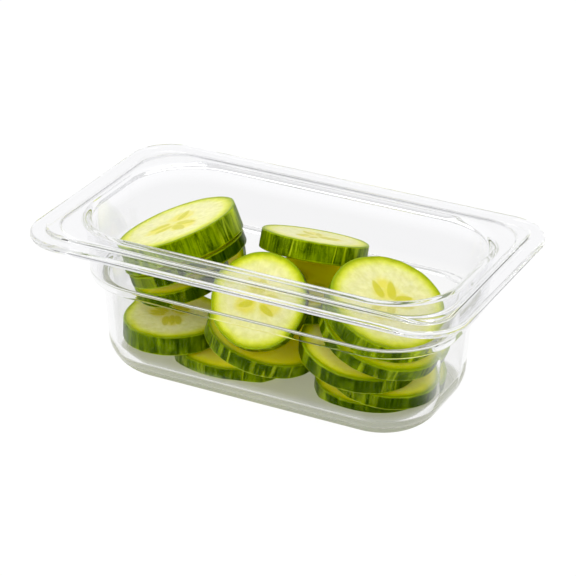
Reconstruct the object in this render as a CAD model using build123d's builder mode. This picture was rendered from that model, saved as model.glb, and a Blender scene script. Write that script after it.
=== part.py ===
from build123d import *

import os

# A clear one-ninth-size food pan with the cucumber slices that it holds.
# Millimetres, +Z up, +X along the long side, origin at the middle of the base.

# Rim
RIM_LENGTH = 176.0
RIM_WIDTH = 108.0
RIM_CORNER = 18.0
PAN_HEIGHT = 64.0
STEP_INSET = 6.0          # from the outer edge of the rim in to the raised flange
STEP_DROP = 1.5           # how much lower the outer land lies than the flange
SHEET = 2.5               # thickness of walls and flange
RIM_BOTTOM = PAN_HEIGHT - 4.4
RIM_EDGE_RADIUS = 1.2
STEP_EDGE_RADIUS = 0.8
LIP_RADIUS = 1.8

# Upper body, between the flange and the stacking shoulder (outside sizes)
SHOULDER_Z = 39.5
UPPER_TOP = (153.0, 81.5, 28.6)        # length, width, corner radius
UPPER_BOTTOM = (149.5, 79.0, 27.3)

# Lower body, from the shoulder to the base (outside sizes, before rounding)
LOWER_TOP = (138.5, 73.0, 23.2)
LOWER_BOTTOM = (136.5, 65.5, 24.0)
FLOOR = 3.0
BASE_RADIUS = 15.0
FLOOR_RADIUS = 13.0
SHOULDER_RADIUS = 1.6
LEDGE_RADIUS = 1.3

# Cucumber slices: centre, lean from level, heading of the lean (the compass
# direction that the upper face tips towards, from +X), radius and thickness.
SLICE_EDGE = 0.4
SLICES = {
    "slice_floor_left": ((-20.5, -1.5, 8.5), 2, 50, 23.5, 7.5),
    "slice_low_left": ((-44.0, -9.0, 17.5), 0, 0, 20.0, 8.5),
    "slice_middle": ((-5.0, -9.0, 20.5), 15, 10, 22.5, 6.5),
    "slice_third_left": ((-46.0, 1.5, 32.5), 17, -150, 18.5, 6.5),
    "slice_second_left": ((-40.6, -3.7, 44.4), 23, -175, 23.3, 5.5),
    "slice_top_left": ((-44.0, -4.0, 52.5), 23, -175, 24.5, 10.5),
    "slice_back_left": ((-46.5, 25.2, 31.5), 80, -75, 14.5, 5.5),
    "slice_low_back": ((0.0, 14.5, 29.5), 0, 0, 17.5, 6.5),
    "slice_second_back": ((5.5, 5.5, 37.0), 5, -65, 20.5, 6.5),
    "slice_top_back": ((4.0, 14.5, 51.2), 20, 90, 21.0, 8.0),
    "slice_front": ((-1.5, -18.8, 41.0), 53, -80, 18.5, 6.0),
    "slice_floor_right": ((35.5, 0.0, 7.5), 3, -20, 20.5, 6.0),
    "slice_low_right": ((42.5, -1.5, 15.5), 9, -20, 21.5, 6.5),
    "slice_third_right": ((34.5, -7.0, 24.5), 11, -20, 23.0, 7.0),
    "slice_second_right": ((42.5, -5.0, 35.0), 24, -25, 24.0, 6.5),
    "slice_top_right": ((43.5, -5.5, 43.0), 25, -25, 23.0, 8.0),
}


def inset(size, amount):
    """A rounded rectangle's size, moved in by an amount all the way round."""
    length, width, corner = size
    return length - 2 * amount, width - 2 * amount, corner - amount


def level_face(solid, height):
    """The largest horizontal face of a solid at one height."""
    level = solid.faces().filter_by(Axis.Z).filter_by_position(Axis.Z, height - 0.01, height + 0.01)
    return level.sort_by(SortBy.AREA)[-1]


os.makedirs("parts", exist_ok=True)

# Pan: one moulding
rim = (RIM_LENGTH, RIM_WIDTH, RIM_CORNER)
flange = inset(rim, STEP_INSET)
land_z = PAN_HEIGHT - STEP_DROP
flange_underside = PAN_HEIGHT - SHEET
ledge_z = SHOULDER_Z + SHEET

with BuildPart() as cavity:
    # The narrower lower part with its rounded floor
    with BuildSketch(Plane.XY.offset(FLOOR)):
        RectangleRounded(*inset(LOWER_BOTTOM, SHEET))
    with BuildSketch(Plane.XY.offset(ledge_z)):
        RectangleRounded(*inset(LOWER_TOP, SHEET))
    loft()
    fillet(level_face(cavity, FLOOR).edges(), FLOOR_RADIUS)
    # The wider upper part, which starts at the ledge
    with BuildSketch(Plane.XY.offset(ledge_z)):
        RectangleRounded(*inset(UPPER_BOTTOM, SHEET))
    with BuildSketch(Plane.XY.offset(PAN_HEIGHT)):
        RectangleRounded(*inset(UPPER_TOP, SHEET))
    loft()
    fillet(level_face(cavity, ledge_z).outer_wire().edges(), LEDGE_RADIUS)

with BuildPart() as pan:
    # Lower body, tapered, with a large radius round the base
    with BuildSketch(Plane.XY):
        RectangleRounded(*LOWER_BOTTOM)
    with BuildSketch(Plane.XY.offset(SHOULDER_Z)):
        RectangleRounded(*LOWER_TOP)
    loft()
    fillet(level_face(pan, 0).edges(), BASE_RADIUS)

    # Upper body stands out over the lower one as the stacking shoulder
    with BuildSketch(Plane.XY.offset(SHOULDER_Z)):
        RectangleRounded(*UPPER_BOTTOM)
    with BuildSketch(Plane.XY.offset(flange_underside)):
        RectangleRounded(*UPPER_TOP)
    loft()
    fillet(level_face(pan, SHOULDER_Z).outer_wire().edges(), SHOULDER_RADIUS)

    # Flange, and the lower outer land that hangs round it
    with BuildSketch(Plane.XY.offset(flange_underside)):
        RectangleRounded(*flange)
    extrude(amount=SHEET)
    with BuildSketch(Plane.XY.offset(RIM_BOTTOM)):
        RectangleRounded(*rim)
        RectangleRounded(*inset(flange, SHEET), mode=Mode.SUBTRACT)
    extrude(amount=land_z - RIM_BOTTOM)

    # Roundings of the rim: the step, then the outer land above and below
    fillet(level_face(pan, PAN_HEIGHT).outer_wire().edges(), STEP_EDGE_RADIUS)
    fillet(level_face(pan, land_z).outer_wire().edges(), RIM_EDGE_RADIUS)
    fillet(level_face(pan, RIM_BOTTOM).outer_wire().edges(), RIM_EDGE_RADIUS)

    # Hollow it, then round the mouth
    add(cavity.part, mode=Mode.SUBTRACT)
    fillet(level_face(pan, PAN_HEIGHT).inner_wires()[0].edges(), LIP_RADIUS)
pan.part.label = "pan"
export_step(pan.part, "parts/pan.step")

# Cucumber slices: round discs, each lying or leaning where it fell
for name, (centre, lean, heading, radius, thickness) in SLICES.items():
    normal = Vector(0, 0, 1).rotate(Axis.Y, lean).rotate(Axis.Z, heading)
    with BuildPart() as slice_of_cucumber:
        with BuildSketch(Plane(origin=centre, z_dir=normal)):
            Circle(radius)
        extrude(amount=thickness / 2, both=True)
        fillet(slice_of_cucumber.edges().filter_by(GeomType.CIRCLE), SLICE_EDGE)
    slice_of_cucumber.part.label = name
    export_step(slice_of_cucumber.part, f"parts/{name}.step")
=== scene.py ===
import math
import random

import bpy
from mathutils import Matrix, Vector, noise


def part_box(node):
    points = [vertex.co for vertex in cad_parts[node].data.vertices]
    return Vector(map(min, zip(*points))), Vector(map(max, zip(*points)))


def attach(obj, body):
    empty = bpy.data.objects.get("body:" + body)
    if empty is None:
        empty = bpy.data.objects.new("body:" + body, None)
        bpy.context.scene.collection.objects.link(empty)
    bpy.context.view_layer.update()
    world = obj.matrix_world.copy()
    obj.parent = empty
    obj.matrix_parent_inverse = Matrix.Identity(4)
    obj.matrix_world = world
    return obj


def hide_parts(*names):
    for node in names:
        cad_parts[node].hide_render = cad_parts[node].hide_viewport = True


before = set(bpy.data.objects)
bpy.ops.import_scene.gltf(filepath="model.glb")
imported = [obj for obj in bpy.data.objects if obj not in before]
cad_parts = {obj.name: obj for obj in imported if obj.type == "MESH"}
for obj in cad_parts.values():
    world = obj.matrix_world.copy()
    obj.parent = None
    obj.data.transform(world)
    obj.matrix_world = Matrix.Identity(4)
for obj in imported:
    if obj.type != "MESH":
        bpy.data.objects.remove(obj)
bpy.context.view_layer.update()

MM = 0.001
FULL_TURN = 2 * math.pi

# ---------------------------------------------------------------- camera
VIEW_AZIMUTH = math.radians(25.77)
VIEW_ELEVATION = math.radians(26.46)
VIEW_ROLL = math.radians(1.25)
VIEW_DISTANCE = 0.93913
VIEW_TARGET = Vector((0, 0, 0.0325))
VIEW_SLIDE = (0.00042, 0.00535)      # sideways and upwards, in the picture plane
LENS = 154.4             # millimetres, for this sensor width
SENSOR = 36.0
NEAREST, FARTHEST = 0.01, 20


def make_camera():
    """Looks at the target from the front and the right, above, with a slight roll."""
    sin_az, cos_az = math.sin(VIEW_AZIMUTH), math.cos(VIEW_AZIMUTH)
    sin_el, cos_el = math.sin(VIEW_ELEVATION), math.cos(VIEW_ELEVATION)
    back = Vector((sin_az * cos_el, -cos_az * cos_el, sin_el))
    level_right = Vector((cos_az, sin_az, 0))
    level_up = back.cross(level_right)
    right = math.cos(VIEW_ROLL) * level_right + math.sin(VIEW_ROLL) * level_up
    up = math.cos(VIEW_ROLL) * level_up - math.sin(VIEW_ROLL) * level_right
    place = VIEW_TARGET + back * VIEW_DISTANCE + right * VIEW_SLIDE[0] + up * VIEW_SLIDE[1]
    data = bpy.data.cameras.new("camera")
    data.lens = LENS
    data.sensor_width = SENSOR
    data.clip_start = NEAREST
    data.clip_end = FARTHEST
    camera = bpy.data.objects.new("camera", data)
    turn = Matrix((right, up, back)).transposed()
    camera.matrix_world = Matrix.Translation(place) @ turn.to_4x4()
    bpy.context.collection.objects.link(camera)
    bpy.context.scene.camera = camera


# ---------------------------------------------------------------- node helpers
class Nodes:
    """A short way to write a material's node tree."""

    def __init__(self, name):
        self.material = bpy.data.materials.new(name)
        self.material.use_nodes = True
        self.tree = self.material.node_tree
        self.tree.nodes.clear()

    def add(self, kind, settings=None, **inputs):
        """Adds a node. An input is given by its name, or by its number after an underline."""
        node = self.tree.nodes.new(kind)
        for key, value in (settings or {}).items():
            setattr(node, key, value)
        for key, value in inputs.items():
            socket = node.inputs[int(key[1:]) if key[0] == "_" else key.replace("_", " ")]
            self.feed(socket, value)
        return node

    def feed(self, socket, value):
        if isinstance(value, bpy.types.NodeSocket):
            self.tree.links.new(value, socket)
        elif socket.type == "RGBA":
            socket.default_value = (*value, 1)
        else:
            socket.default_value = value

    def place(self):
        return self.add("ShaderNodeTexCoord").outputs["Object"]

    def attribute(self, name, output="Fac"):
        return self.add("ShaderNodeAttribute", {"attribute_name": name}).outputs[output]

    def math(self, operation, *values, clamp=False):
        node = self.add("ShaderNodeMath", {"operation": operation, "use_clamp": clamp})
        for socket, value in zip(node.inputs, values):
            self.feed(socket, value)
        return node.outputs[0]

    def around_zero(self, value, gain):
        """A noise of 0 to 1 turned into a swing either way of nothing."""
        return self.math("MULTIPLY", self.math("SUBTRACT", value, 0.5), gain)

    def vector(self, operation, *values):
        node = self.add("ShaderNodeVectorMath", {"operation": operation})
        for socket, value in zip(node.inputs, values):
            self.feed(socket, value)
        return node.outputs[0]

    def mix_colour(self, factor, first, second, blend="MIX"):
        node = self.add("ShaderNodeMix", {"data_type": "RGBA", "blend_type": blend})
        for index, value in ((0, factor), (6, first), (7, second)):
            self.feed(node.inputs[index], value)
        return node.outputs[2]

    def mix_number(self, factor, first, second):
        return self.add("ShaderNodeMix", _0=factor, _2=first, _3=second).outputs[0]

    def mix_shader(self, factor, first, second):
        return self.add("ShaderNodeMixShader", _0=factor, _1=first, _2=second).outputs[0]

    def spread(self, value, low, high, to_low=0.0, to_high=1.0):
        """Smoothly maps low..high to to_low..to_high, and holds the ends."""
        node = self.add("ShaderNodeMapRange", {"interpolation_type": "SMOOTHSTEP"})
        for socket, number in zip(node.inputs, (value, low, high, to_low, to_high)):
            self.feed(socket, number)
        return node.outputs[0]

    def ramp(self, value, stops):
        node = self.add("ShaderNodeValToRGB")
        self.feed(node.inputs[0], value)
        fill_ramp(node, stops)
        return node.outputs[0]

    def noise(self, vector, scale, detail=3.0, rough=0.55, distortion=0.0):
        node = self.add("ShaderNodeTexNoise", Vector=vector, Scale=scale, Detail=detail,
                        Roughness=rough, Distortion=distortion)
        return node.outputs[0]

    def stretch(self, vector, scale):
        return self.add("ShaderNodeMapping", Vector=vector, Scale=scale).outputs[0]

    def bump(self, height, distance, strength=1.0, normal=None):
        node = self.add("ShaderNodeBump", Height=height, Distance=distance, Strength=strength)
        if normal is not None:
            self.feed(node.inputs["Normal"], normal)
        return node.outputs[0]

    def output(self, shader):
        self.add("ShaderNodeOutputMaterial", Surface=shader)
        return self.material


def fill_ramp(node, stops):
    elements = node.color_ramp.elements
    while len(elements) < len(stops):
        elements.new(0.5)
    for element, (position, colour) in zip(elements, stops):
        element.position = position
        element.color = (*colour, 1)


def grey(tone):
    return (tone, tone, tone)


# ---------------------------------------------------------------- clear plastic
WHITE = (1, 1, 1)
PLASTIC_IOR = 1.57
SATIN_TOP = 0.0065       # the satin finish of the base ends at this height
SATIN_BLUR = 0.0008      # half the height over which it fades out
SATIN_COVER = 0.88       # how much of the clear plastic the satin hides
SATIN_ROUGHNESS = 0.40
SATIN_GLOW = (0.50, 0.51, 0.41)      # light that comes through the satin
SATIN_MATT = (0.46, 0.47, 0.38)      # light that it throws back
WALL_TINT = (0.955, 0.955, 0.955)    # light let through each surface below the shoulder
UPPER_TINT = (0.938, 0.938, 0.942)   # the same between the shoulder and the rim
RIM_TINT = (0.974, 0.974, 0.980)
SHADOW_TINT = (0.96, 0.965, 0.96)    # the same for light that goes straight through
SHOULDER_LEVELS = (0.040, 0.046)     # the tints change between these heights
RIM_LEVELS = (0.054, 0.060)
SCUFF_ROUGHNESS = 0.03
TRAPPED_DEPTH = 9.5      # light inside the plastic is let out after this many bounces


def clear_plastic():
    n = Nodes("clear_polycarbonate")
    place = n.place()
    height = n.add("ShaderNodeSeparateXYZ", Vector=place).outputs["Z"]
    satin = n.spread(height, SATIN_TOP + SATIN_BLUR, SATIN_TOP - SATIN_BLUR)
    grain = n.noise(place, 2600, 2.0)
    ripple = n.noise(place, 38, 1.0)
    scuff = n.noise(n.stretch(place, (1, 1, 0.2)), 160, 4.0, 0.6)
    haze = n.spread(scuff, 0.55, 0.8, 0.0, SCUFF_ROUGHNESS)
    roughness = n.math("ADD", haze, n.math("MULTIPLY", satin, SATIN_ROUGHNESS))
    soft = n.bump(ripple, 0.0002, 0.25)
    normal = n.bump(grain, 0.00012, n.math("MULTIPLY", satin, 0.6), soft)
    fresnel = n.add("ShaderNodeFresnel", IOR=PLASTIC_IOR, Normal=normal).outputs[0]
    # head-on the clear wall hardly mirrors, so what it holds keeps its full colour
    mirrored = n.math("MULTIPLY", fresnel, n.spread(fresnel, 0.05, 0.14, 0.03, 1.0))
    below_rim = n.mix_colour(n.spread(height, *SHOULDER_LEVELS), WALL_TINT, UPPER_TINT)
    tint = n.mix_colour(n.spread(height, *RIM_LEVELS), below_rim, RIM_TINT)
    bent = n.add("ShaderNodeBsdfRefraction", Color=tint, Roughness=roughness,
                 IOR=PLASTIC_IOR, Normal=normal).outputs[0]
    gloss = n.add("ShaderNodeBsdfGlossy", Color=WHITE, Roughness=roughness,
                  Normal=normal).outputs[0]
    glass = n.mix_shader(mirrored, bent, gloss)
    milk = n.add("ShaderNodeBsdfTranslucent", Color=SATIN_GLOW).outputs[0]
    matt = n.add("ShaderNodeBsdfDiffuse", Color=SATIN_MATT).outputs[0]
    cloud = n.mix_shader(0.5, milk, matt)
    body = n.mix_shader(n.math("MULTIPLY", satin, SATIN_COVER), glass, cloud)
    # light passes to what lies behind the clear wall, as it does in the real pan, and light
    # that has gone many times round inside the rim comes out of it
    path = n.add("ShaderNodeLightPath").outputs
    passing = n.math("MAXIMUM", path["Is Shadow Ray"], path["Is Diffuse Ray"])
    spent = n.math("GREATER_THAN", path["Ray Depth"], TRAPPED_DEPTH)
    passing = n.math("MAXIMUM", passing, spent)
    open_way = n.add("ShaderNodeBsdfTransparent", Color=SHADOW_TINT).outputs[0]
    return n.output(n.mix_shader(passing, body, open_way))


# ---------------------------------------------------------------- cucumber
# colours from the middle of a slice, 0, to its skin, 1
FLESH = [
    (0.00, (0.75, 0.73, 0.29)),
    (0.30, (0.76, 0.75, 0.35)),
    (0.62, (0.765, 0.75, 0.38)),
    (0.77, (0.74, 0.74, 0.29)),
    (0.86, (0.67, 0.70, 0.09)),
    (0.92, (0.49, 0.55, 0.008)),
    (0.955, (0.31, 0.39, 0.002)),
    (0.980, (0.20, 0.29, 0.003)),
    (1.0, (0.07, 0.13, 0.001)),
]
PAINTED_SHADE_AMBER = (0.84, 0.80, 0.015)     # painted shade: amber put on the flesh of slices that lie in shade, in place of the colour shade gives it
JELLY = (0.74, 0.67, 0.07)
SEED = (0.57, 0.54, 0.025)
SKIN_DARK = ((0.008, 0.026, 0.001), (0.050, 0.095, 0.002))    # between fibres, on fibres
SKIN_PALE = ((0.070, 0.125, 0.002), (0.19, 0.28, 0.004))
SKIN_STREAK = (0.46, 0.57, 0.015)
SKIN_DOT = (0.34, 0.46, 0.02)
SKIN_BY_CUT = (0.42, 0.54, 0.010)
CUCUMBER_IOR = 1.36
GLOW_DEPTH = 0.006                   # how far light spreads below the surface
GLOW_COLOURS = (1.0, 0.85, 0.12)
FLESH_SHINE = (1, 1, 0.75)
SKIN_SHINE = (0.9, 1, 0.2)


def flesh_colour(n, place, shift, spot, painted_amber_shade):
    """The cut face: rings of colour out from the middle, fibres, seeds in clear jelly."""
    rho, seed, jelly = (n.attribute(key) for key in ("rho", "seed", "jelly"))
    edge_wave = n.around_zero(n.noise(spot, 330, 3.0), 0.075)
    edge_wave = n.math("MULTIPLY", edge_wave, n.spread(rho, 0.99, 0.90))
    rings = n.ramp(n.math("ADD", rho, edge_wave, clamp=True), FLESH)
    # fibres run out from the middle: noise that changes mostly with direction
    outward = n.vector("NORMALIZE", n.vector("MULTIPLY", place, (1, 1, 0)))
    along = n.add("ShaderNodeCombineXYZ", Z=n.math("MULTIPLY", rho, 0.8)).outputs[0]
    spokes = n.vector("ADD", n.vector("ADD", outward, along), shift)
    ray = n.around_zero(n.noise(spokes, 8, 4.0, 0.6), n.spread(rho, 0.15, 0.5))
    cloudy = n.spread(n.noise(spot, 420, 3.0), 0.3, 0.7, 0.84, 1.06)
    fibre = n.math("ADD", cloudy, n.math("MULTIPLY", ray, 0.50))
    # the mottling is yellow on cream, so it takes mostly blue away
    slight = n.math("ADD", 0.55, n.math("MULTIPLY", fibre, 0.45))
    mottled = n.add("ShaderNodeCombineXYZ", X=slight, Y=slight, Z=fibre).outputs[0]
    flesh = n.mix_colour(1.0, rings, mottled, "MULTIPLY")
    # painted shade: amber laid on the flesh inside the skin ring of slices set to lie in
    # shade, standing in for the colour shade gives the flesh
    amber_shaded = n.math("MULTIPLY", painted_amber_shade, n.spread(rho, 0.97, 0.85))
    flesh = n.mix_colour(amber_shaded, flesh, PAINTED_SHADE_AMBER)
    jelly = n.math("MULTIPLY", jelly, n.spread(n.noise(spot, 330, 2.0), 0.25, 0.6, 0.6, 1.0))
    flesh = n.mix_colour(n.math("MULTIPLY", jelly, 0.85), flesh, JELLY)
    return n.mix_colour(n.spread(seed, 0.08, 0.70, 0.0, 0.80), flesh, SEED)


def skin_colour(n, spot, lengthwise, fine):
    """Mottled dark green skin with paler streaks that run the length of the fruit."""
    edge, tone = n.attribute("edge"), n.attribute("tone")
    speck = n.noise(spot, 1300, 3.0, 0.6)
    grained = n.stretch(spot, (1, 1, 0.30))
    mottle = n.noise(grained, 230, 4.0, 0.65, 0.4)
    fibres = n.spread(fine, 0.30, 0.70)
    dark = n.mix_colour(fibres, *SKIN_DARK)
    pale = n.mix_colour(fibres, *SKIN_PALE)
    patches = n.math("ADD", mottle, n.around_zero(n.noise(spot, 130, 2.0), 0.7))
    patches = n.math("ADD", patches, n.around_zero(speck, 0.35))
    # partly painted shade: a higher tone darkens the skin, partly as the fruit's own tone and
    # partly as shade on slices that lie under others
    patches = n.math("SUBTRACT", patches, n.around_zero(tone, 0.45))
    green = n.mix_colour(n.spread(patches, 0.30, 0.66), dark, pale)
    broad = n.noise(lengthwise, 150, 2.0, 0.5, 0.35)
    ridge = n.math("ABSOLUTE", n.math("SUBTRACT", broad, 0.5))
    ridge = n.math("ADD", ridge, n.around_zero(speck, 0.06))
    gate = n.spread(n.noise(grained, 100, 1.0), 0.42, 0.66)
    # a higher tone also dims the pale streaks, in part painted shade as well
    streak = n.math("MULTIPLY", n.spread(ridge, 0.052, 0.0), gate)
    streak = n.math("MULTIPLY", streak, n.spread(tone, 0.4, 1.0, 0.90, 0.35))
    green = n.mix_colour(streak, green, SKIN_STREAK)
    dots = n.add("ShaderNodeTexVoronoi", Vector=spot, Scale=1100.0, Randomness=1.0)
    dots = n.spread(dots.outputs["Distance"], 0.22, 0.05, 0.0, 0.35)
    green = n.mix_colour(dots, green, SKIN_DOT)
    # the skin pales to yellow-green beside each cut
    beside = n.math("ADD", edge, n.math("MULTIPLY", mottle, 0.8))
    beside = n.math("MULTIPLY", n.spread(beside, 0.70, 1.40), 0.80)
    return n.mix_colour(beside, green, SKIN_BY_CUT)


def cucumber():
    n = Nodes("cucumber")
    place = n.place()
    shift = n.attribute("shift", "Vector")
    spot = n.vector("ADD", place, shift)
    # the second attribute is how much painted amber shade the flesh gets
    side, painted_amber_shade = n.attribute("side"), n.attribute("painted_amber_shade")
    lengthwise = n.stretch(spot, (1, 1, 0.10))
    fine = n.noise(lengthwise, 850, 3.0, 0.6, 0.3)
    flesh = flesh_colour(n, place, shift, spot, painted_amber_shade)
    colour = n.mix_colour(side, flesh, skin_colour(n, spot, lengthwise, fine))
    face_rough = n.spread(n.noise(spot, 900, 2.0), 0.3, 0.7, 0.33, 0.41)
    skin_rough = n.spread(fine, 0.3, 0.7, 0.30, 0.48)
    grain = n.bump(n.noise(spot, 1500, 2.0), 0.00004, 0.08)
    shader = n.add("ShaderNodeBsdfPrincipled", Base_Color=colour,
                   Roughness=n.mix_number(side, face_rough, skin_rough),
                   Normal=n.bump(n.noise(spot, 300, 2.0), 0.0003, 0.35, grain),
                   Subsurface_Weight=n.mix_number(side, 0.75, 0.08),
                   Subsurface_Scale=GLOW_DEPTH, Subsurface_Radius=GLOW_COLOURS,
                   IOR=CUCUMBER_IOR, Specular_IOR_Level=0.3,
                   Specular_Tint=n.mix_colour(side, FLESH_SHINE, SKIN_SHINE))
    return n.output(shader.outputs[0])


# ---------------------------------------------------------------- mesh helpers
def new_object(name, vertices, faces, material, attributes=None, smooth=True):
    mesh = bpy.data.meshes.new(name)
    mesh.from_pydata(vertices, [], faces)
    mesh.materials.append(material)
    for key, (kind, values) in (attributes or {}).items():
        layer = mesh.attributes.new(key, kind, "POINT")
        layer.data.foreach_set("vector" if kind == "FLOAT_VECTOR" else "value", values)
    if smooth:
        mesh.shade_smooth()
    mesh.validate()
    thing = bpy.data.objects.new(name, mesh)
    bpy.context.collection.objects.link(thing)
    return thing


def ring_faces(around, rows, from_below):
    """Quads from each ring of points to the next, and a face to close each end. All rings
    run anticlockwise seen from above, and the first is on the underside or on the top."""
    faces = []
    for row in range(rows - 1):
        low, high = row * around, (row + 1) * around
        for i in range(around):
            j = (i + 1) % around
            first, second = (i, j) if from_below else (j, i)
            faces.append((low + first, low + second, high + second, high + first))
    start, end = range(around), range((rows - 1) * around, rows * around)
    if from_below:
        return faces + [tuple(reversed(start)), tuple(end)]
    return faces + [tuple(start), tuple(reversed(end))]


def lerp(first, second, share):
    return [a + (b - a) * share for a, b in zip(first, second)]


def smooth(value):
    value = max(0.0, min(1.0, value))
    return value * value * (3 - 2 * value)


# ---------------------------------------------------------------- pan
# One section through the moulding, from the underside out, up, over the rim and down the
# inside: half length, half width, plan corner, height, edge rounding; in millimetres.
PAN_SECTION = [
    (46.0, 10.5, 1.8, 0.0, 0),
    (68.25, 32.75, 24.0, 0.0, 15),
    (69.25, 36.5, 23.2, 39.5, 0.8),
    (74.75, 39.5, 27.3, 39.5, 1.6),
    (76.5, 40.75, 28.6, 61.5, 1.2),
    (79.5, 45.5, 17.5, 61.5, 0.6),
    (79.5, 45.5, 17.5, 59.6, 0.5),
    (88.0, 54.0, 18.0, 59.6, 1.2),
    (88.0, 54.0, 18.0, 62.5, 1.2),
    (82.0, 48.0, 12.0, 62.5, 0.4),
    (82.0, 48.0, 12.0, 64.0, 0.8),
    (74.0, 38.25, 26.1, 64.0, 1.8),
    (72.25, 37.0, 24.8, 42.0, 1.3),
    (66.75, 34.0, 20.7, 42.0, 1.3),
    (65.75, 30.25, 21.5, 3.0, 13),
    (45.5, 10.0, 1.3, 3.0, 0),
]
CORNER_STEPS = 36
SIDE_STEPS = (0.02, 0.1, 0.3, 0.5, 0.7, 0.9, 0.98)
LARGE_ROUNDING = 5
LARGE_STEPS, SMALL_STEPS = 24, 12
SUPPORT = 0.35           # a ring this far from each rounding keeps the flats flat


def rounded_section():
    """The section's corners rounded off, as a list of rings."""
    rings = [PAN_SECTION[0][:4]]
    for before, here, after in zip(PAN_SECTION, PAN_SECTION[1:], PAN_SECTION[2:]):
        length_in = math.dist(before[1:4:2], here[1:4:2])
        length_out = math.dist(after[1:4:2], here[1:4:2])
        way_in = ((before[1] - here[1]) / length_in, (before[3] - here[3]) / length_in)
        way_out = ((after[1] - here[1]) / length_out, (after[3] - here[3]) / length_out)
        straight = way_in[0] * way_out[0] + way_in[1] * way_out[1]
        turn = math.pi - math.acos(max(-1, min(1, straight)))
        reach = here[4] * math.tan(turn / 2)
        start = lerp(here[:4], before[:4], reach / length_in)
        end = lerp(here[:4], after[:4], reach / length_out)
        weight = math.cos(turn / 2)
        rings.append(lerp(here[:4], before[:4], (reach + SUPPORT) / length_in))
        steps = LARGE_STEPS if here[4] > LARGE_ROUNDING else SMALL_STEPS
        for step in range(steps + 1):
            t = step / steps
            a, b, c = (1 - t) ** 2, 2 * t * (1 - t) * weight, t * t
            rings.append([(a * p + b * q + c * r) / (a + b + c)
                          for p, q, r in zip(start, here[:4], end)])
        rings.append(lerp(here[:4], after[:4], (reach + SUPPORT) / length_out))
    rings.append(PAN_SECTION[-1][:4])
    return rings


def plan_ring(half_length, half_width, corner, height):
    """Points round a rounded rectangle, anticlockwise from the +X side."""
    points = []
    centres = [(sx * (half_length - corner), sy * (half_width - corner))
               for sx, sy in ((1, 1), (-1, 1), (-1, -1), (1, -1))]

    def on_corner(quarter, angle):
        cx, cy = centres[quarter % 4]
        return (cx + corner * math.cos(angle), cy + corner * math.sin(angle), height)

    for quarter in range(4):
        for step in range(CORNER_STEPS + 1):
            points.append(on_corner(quarter, math.pi / 2 * (quarter + step / CORNER_STEPS)))
        start = points[-1]
        end = on_corner(quarter + 1, math.pi / 2 * (quarter + 1))
        points += [tuple(lerp(start, end, share)) for share in SIDE_STEPS]
    return points


def make_pan():
    vertices = []
    rings = rounded_section()
    for ring in rings:
        vertices += [(x * MM, y * MM, z * MM) for x, y, z in plan_ring(*ring)]
    faces = ring_faces(len(vertices) // len(rings), len(rings), from_below=True)
    pan = new_object("pan_moulding", vertices, faces, clear_plastic())
    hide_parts("pan")
    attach(pan, "pan")


# ---------------------------------------------------------------- slices
# Lean from level, heading of the lean, radius, thickness, wedge (how much thinner one side
# is cut), direction of the first seed lobe, darkness of the skin (partly the fruit's own
# tone, partly painted shade on slices that lie under others), painted amber shade on the
# flesh of slices that lie in shade.
# Angles are in degrees and sizes in millimetres.
SLICES = {
    "slice_floor_left": (2, 50, 23.5, 7.5, 0.3, 10, 0.8, 0.7),
    "slice_low_left": (0, 0, 20.0, 8.5, 0.3, 70, 0.6, 0.0),
    "slice_middle": (15, 10, 22.5, 6.5, 0.3, 35, 0.75, 0.9),
    "slice_third_left": (17, -150, 18.5, 6.5, 0.3, 20, 0.9, 0.4),
    "slice_second_left": (23, -175, 23.3, 5.5, 0.1, 50, 1.1, 0.5),
    "slice_top_left": (23, -175, 24.5, 10.5, 0.2, 25, 0.35, 0.0),
    "slice_back_left": (80, -75, 14.5, 5.5, 0.2, 0, 0.8, 0.5),
    "slice_low_back": (0, 0, 17.5, 6.5, 0.3, 15, 0.7, 0.8),
    "slice_second_back": (5, -65, 20.5, 6.5, 0.3, 80, 0.9, 1.0),
    "slice_top_back": (20, 90, 21.0, 8.0, 0.1, 40, 0.4, 0.0),
    "slice_front": (53, -80, 18.5, 6.0, 0.1, 60, 0.7, 0.0),
    "slice_floor_right": (3, -20, 20.5, 6.0, 0.3, 5, 0.9, 0.6),
    "slice_low_right": (9, -20, 21.5, 6.5, 0.3, 95, 1.1, 0.45),
    "slice_third_right": (11, -20, 23.0, 7.0, 0.3, 30, 0.9, 0.45),
    "slice_second_right": (24, -25, 24.0, 6.5, 0.2, 75, 0.7, 0.4),
    "slice_top_right": (25, -25, 23.0, 8.0, 0.1, 50, 0.5, 0.0),
}
FIRST_SEED = 100         # the first slice's random seed; each next slice adds one
LOBES = 3
LOBE_OUT = 0.28          # a lobe's middle, as a share of the radius
SEEDS_IN_LOBE = ((-1, 1), (-1, 1), (-1, 0, 1), (0,))     # seeds to the side of a lobe's middle
OUTLINE = 0.987          # the cut outline's mean radius, as a share of the full radius
WAVES = ((0.0045, 2), (0.0030, 3), (0.0028, 9), (0.0020, 16))    # its swing and its count
FACE_DROP = 0.12         # the cut face lies this far inside the full thickness
JELLY_DEPTH = 0.22       # how far the jelly lobes sink into the cut face
SEED_RISE = 0.20         # how far a seed stands up from the jelly
SOFT_SWING = 0.14        # gentle unevenness of the cut face, and how far it lies in
SOFT_SINK = 0.10
RING_DEPTH = 0.22        # a shallow ring just inside the skin
SUNK_SHARE = 0.6         # where the face sinks, this share of the depth is kept
HIGHEST_RISE = 0.1       # where it rises, it rises no higher than this
SKIN_INSET = 0.5         # the skin's outermost rows stop this far from the cuts
LUMP_HEIGHT = 0.10       # broad and small bumps of the skin
WART_HEIGHT = 0.09
FACE_TURN = 0.35         # the seeds seen on the bottom are turned by this, in radians
CUT_GLOW = 1.6           # how far the skin pales beside a cut
AROUND = 128
ANGLES = [FULL_TURN * i / AROUND for i in range(AROUND)]
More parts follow.
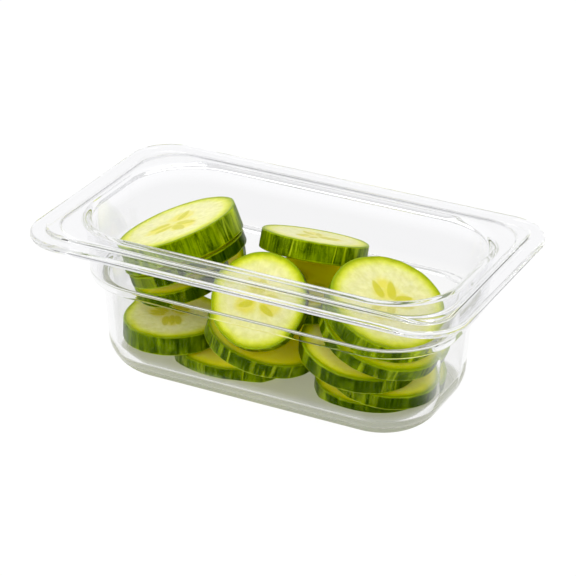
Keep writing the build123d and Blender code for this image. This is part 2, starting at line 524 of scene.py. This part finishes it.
FACE_RINGS = ([0.02, 0.05] + [0.08 + 0.02 * k for k in range(23)]
              + [0.57, 0.64, 0.71, 0.78, 0.84, 0.89, 0.93, 0.955])
BEVEL = ((0.975, 0.03, 0.0), (0.990, 0.18, 0.2), (1.0, 0.45, 1.0))   # share, drop, skin
SKIN_LEVELS = (0.85, 0.68, 0.45, 0.15, -0.15, -0.45, -0.68, -0.85)


def seed_layout(rng, heading):
    """Seeds and jelly of the lobes: x, y, long way, half length, half width (as shares of
    the radius), and how clearly each one shows."""
    seeds, lobes = [], []
    for lobe in range(LOBES):
        middle = math.radians(heading + 360 / LOBES * lobe + rng.uniform(-15, 15))
        lobes.append((LOBE_OUT * math.cos(middle), LOBE_OUT * math.sin(middle), middle,
                      rng.uniform(0.29, 0.35), rng.uniform(0.24, 0.30), 1.0))
        for side in rng.choice(SEEDS_IN_LOBE):
            out = rng.uniform(0.24, 0.33)
            angle = middle + side * rng.uniform(0.30, 0.46)
            seeds.append((out * math.cos(angle), out * math.sin(angle),
                          middle + side * rng.uniform(0.0, 0.40),
                          rng.uniform(0.21, 0.28), rng.uniform(0.080, 0.105),
                          rng.uniform(0.75, 1.0)))
    return seeds, lobes


def oval(x, y, shape):
    """How clearly an oval, narrower at its outer end, shows at x, y: most at its middle,
    0 at its edge, below 0 outside."""
    cx, cy, angle, length, width, clearness = shape
    dx, dy = x - cx, y - cy
    along = dx * math.cos(angle) + dy * math.sin(angle)
    across = dy * math.cos(angle) - dx * math.sin(angle)
    taper = max(0.4, 1 - 0.35 * along / length)
    return clearness * (1 - math.hypot(along / length, across / (width * taper)))


def make_slice(name, number, material):
    lean, heading, radius, thickness, wedge, lobes_at, skin_darkness_and_shade, painted_amber_share = SLICES[name]
    rng = random.Random(FIRST_SEED + number)
    seeds, lobes = seed_layout(rng, lobes_at)
    low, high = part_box(name)
    centre = (Vector(low) + Vector(high)) / 2
    wedge_way = rng.uniform(0, FULL_TURN)
    shift = [rng.uniform(0, 1) for _ in range(3)]
    phases = [rng.uniform(0, FULL_TURN) for _ in WAVES]
    half = thickness / 2
    vertices = []
    masks = {key: [] for key in ("rho", "seed", "jelly", "side", "edge")}

    def outline(angle):
        wave = sum(swing * math.sin(count * angle + phase)
                   for (swing, count), phase in zip(WAVES, phases))
        return radius * (OUTLINE + wave)

    def face_shape(x, y, share, top):
        """How far the cut face rises, and how much seed and jelly it shows."""
        seed = max(oval(x, y, s) for s in seeds)
        lobe = max(oval(x, y, s) for s in lobes)
        sunk = -JELLY_DEPTH * smooth(lobe * 2.0) + SEED_RISE * smooth(seed * 2.0)
        layer = number * 3.1 + (5 if top else 0)
        soft = SOFT_SWING * noise.noise(Vector((x * 9, y * 9, layer))) - SOFT_SINK
        ring = -RING_DEPTH * smooth((share - 0.84) / 0.12) * smooth((1.0 - share) / 0.05)
        return sunk + soft + ring, seed, lobe

    def put(angle, share, z, seed=-1.0, lobe=-1.0, on_side=0.0, swell=0.0):
        """Adds one point, and what the material needs to know there."""
        reach = outline(angle) * share + swell
        tilt = wedge * 0.5 * (1 + math.cos(angle - wedge_way) * share)
        z = z - tilt if z > 0 else z
        vertices.append((reach * math.cos(angle) * MM, reach * math.sin(angle) * MM, z * MM))
        masks["rho"].append(share)
        masks["seed"].append(smooth(seed * 1.8))
        masks["jelly"].append(smooth(lobe * 1.7))
        masks["side"].append(on_side)
        masks["edge"].append(smooth(1 - (half - abs(z)) / CUT_GLOW))

    def put_face(top):
        """The top face from its middle outwards, or the bottom face inwards."""
        sign, turn = (1, 0) if top else (-1, FACE_TURN)
        for share in FACE_RINGS if top else reversed(FACE_RINGS):
            for angle in ANGLES:
                x, y = share * math.cos(angle + turn), share * math.sin(angle + turn)
                rise, seed, lobe = face_shape(x, y, share, top)
                rise = rise * SUNK_SHARE if rise < 0 else min(rise, HIGHEST_RISE)
                put(angle, share, sign * (half - FACE_DROP + rise), seed, lobe)

    def put_bevel(sign, steps):
        for share, drop, on_side in steps:
            for angle in ANGLES:
                put(angle, share, sign * (half - FACE_DROP - drop), on_side=on_side)

    def bumps(angle, size, height):
        return noise.noise(Vector((math.cos(angle) * size, math.sin(angle) * size, height)))

    def put_skin():
        for level in SKIN_LEVELS:
            for angle in ANGLES:
                lump = bumps(angle, 5, level + number)
                wart = bumps(angle, 19, level * 3 + number)
                put(angle, 1.0, level * (half - SKIN_INSET), on_side=1.0,
                    swell=LUMP_HEIGHT * lump + WART_HEIGHT * wart)

    put_face(True)
    put_bevel(1, BEVEL)
    put_skin()
    put_bevel(-1, reversed(BEVEL))
    put_face(False)

    faces = ring_faces(AROUND, len(vertices) // AROUND, from_below=False)
    attributes = {key: ("FLOAT", values) for key, values in masks.items()}
    attributes["shift"] = ("FLOAT_VECTOR", shift * len(vertices))
    # tone is the skin's darkness, partly its own and partly painted shade; the last attribute
    # is how much painted amber shade the flesh gets
    attributes["tone"] = ("FLOAT", [skin_darkness_and_shade] * len(vertices))
    attributes["painted_amber_shade"] = ("FLOAT", [painted_amber_share] * len(vertices))
    piece = new_object(name + "_cut", vertices, faces, material, attributes)
    turn = (Matrix.Rotation(math.radians(heading), 4, "Z")
            @ Matrix.Rotation(math.radians(lean), 4, "Y"))
    piece.matrix_world = Matrix.Translation(centre) @ turn
    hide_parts(name)
    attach(piece, name)


# ---------------------------------------------------------------- stage and light
FLOOR_SIZE = 4.0         # half the floor's side
FLOOR_LEVEL = -0.0003    # just under the pan
FLOOR_GLOW = 0.93        # share of the floor's white that is its own light
SKY = [(0.0, 1.0), (0.25, 1.0), (0.45, 0.9), (0.7, 0.85), (1.0, 0.95)]
SKY_STRENGTH = 0.93
LIT_POINT = Vector((0, 0, 0.03))
# name, place, width, height, power in watts
SOFTBOXES = [
    ("top_light", (-0.15, 0.35, 0.95), 0.8, 0.3, 1.7),
    ("left_light", (-0.9, -0.2, 0.55), 0.1, 0.6, 1.2),
    ("right_light", (0.85, -0.3, 0.6), 0.1, 0.6, 0.8),
    ("front_light", (0.3, -1.1, 0.5), 0.9, 0.5, 3.4),
    ("low_light", (-0.85, -0.85, 0.36), 1.3, 0.55, 4.0),
]
BLACK_LEVEL = 0.008      # a little more contrast in the dark greens
# light goes many times round the thick rim before it comes out
MOST_BOUNCES = 32
PLASTIC_BOUNCES = 24


def floor_white():
    n = Nodes("floor_white")
    tone = n.spread(n.noise(n.place(), 3, 2.0), 0.3, 0.7, 0.90, 0.92)
    white = n.add("ShaderNodeCombineXYZ", X=tone, Y=tone, Z=tone).outputs[0]
    matt = n.add("ShaderNodeBsdfDiffuse", Color=white).outputs[0]
    lit = n.add("ShaderNodeEmission", Color=WHITE, Strength=1.03).outputs[0]
    return n.output(n.mix_shader(FLOOR_GLOW, matt, lit))


def make_floor():
    corners = [(x * FLOOR_SIZE, y * FLOOR_SIZE, FLOOR_LEVEL)
               for x, y in ((-1, -1), (1, -1), (1, 1), (-1, 1))]
    new_object("floor", corners, [(0, 1, 2, 3)], floor_white(), smooth=False)


def make_sky():
    world = bpy.data.worlds.new("studio")
    bpy.context.scene.world = world
    world.use_nodes = True
    tree = world.node_tree
    sky = tree.nodes["Background"]
    direction = tree.nodes.new("ShaderNodeTexCoord")
    split = tree.nodes.new("ShaderNodeSeparateXYZ")
    ramp = tree.nodes.new("ShaderNodeValToRGB")
    fill_ramp(ramp, [(position, grey(tone)) for position, tone in SKY])
    tree.links.new(direction.outputs["Generated"], split.inputs[0])
    tree.links.new(split.outputs["Z"], ramp.inputs[0])
    tree.links.new(ramp.outputs[0], sky.inputs["Color"])
    sky.inputs["Strength"].default_value = SKY_STRENGTH


def make_softbox(name, place, width, height, power):
    data = bpy.data.lights.new(name, "AREA")
    data.shape = "RECTANGLE"
    data.size = width
    data.size_y = height
    data.energy = power
    lamp = bpy.data.objects.new(name, data)
    place = Vector(place)
    look = (LIT_POINT - place).to_track_quat("-Z", "Y")
    lamp.matrix_world = Matrix.Translation(place) @ look.to_matrix().to_4x4()
    bpy.context.collection.objects.link(lamp)


def make_stage():
    make_floor()
    make_sky()
    for softbox in SOFTBOXES:
        make_softbox(*softbox)
    view = bpy.context.scene.view_settings
    view.view_transform = "Standard"
    view.look = "None"
    view.use_curve_mapping = True
    view.curve_mapping.black_level = grey(BLACK_LEVEL)
    view.curve_mapping.update()
    cycles = bpy.context.scene.cycles
    cycles.max_bounces = MOST_BOUNCES
    cycles.glossy_bounces = cycles.transmission_bounces = PLASTIC_BOUNCES


make_camera()
make_stage()
make_pan()
CUCUMBER = cucumber()
for number, name in enumerate(SLICES):
    make_slice(name, number, CUCUMBER)
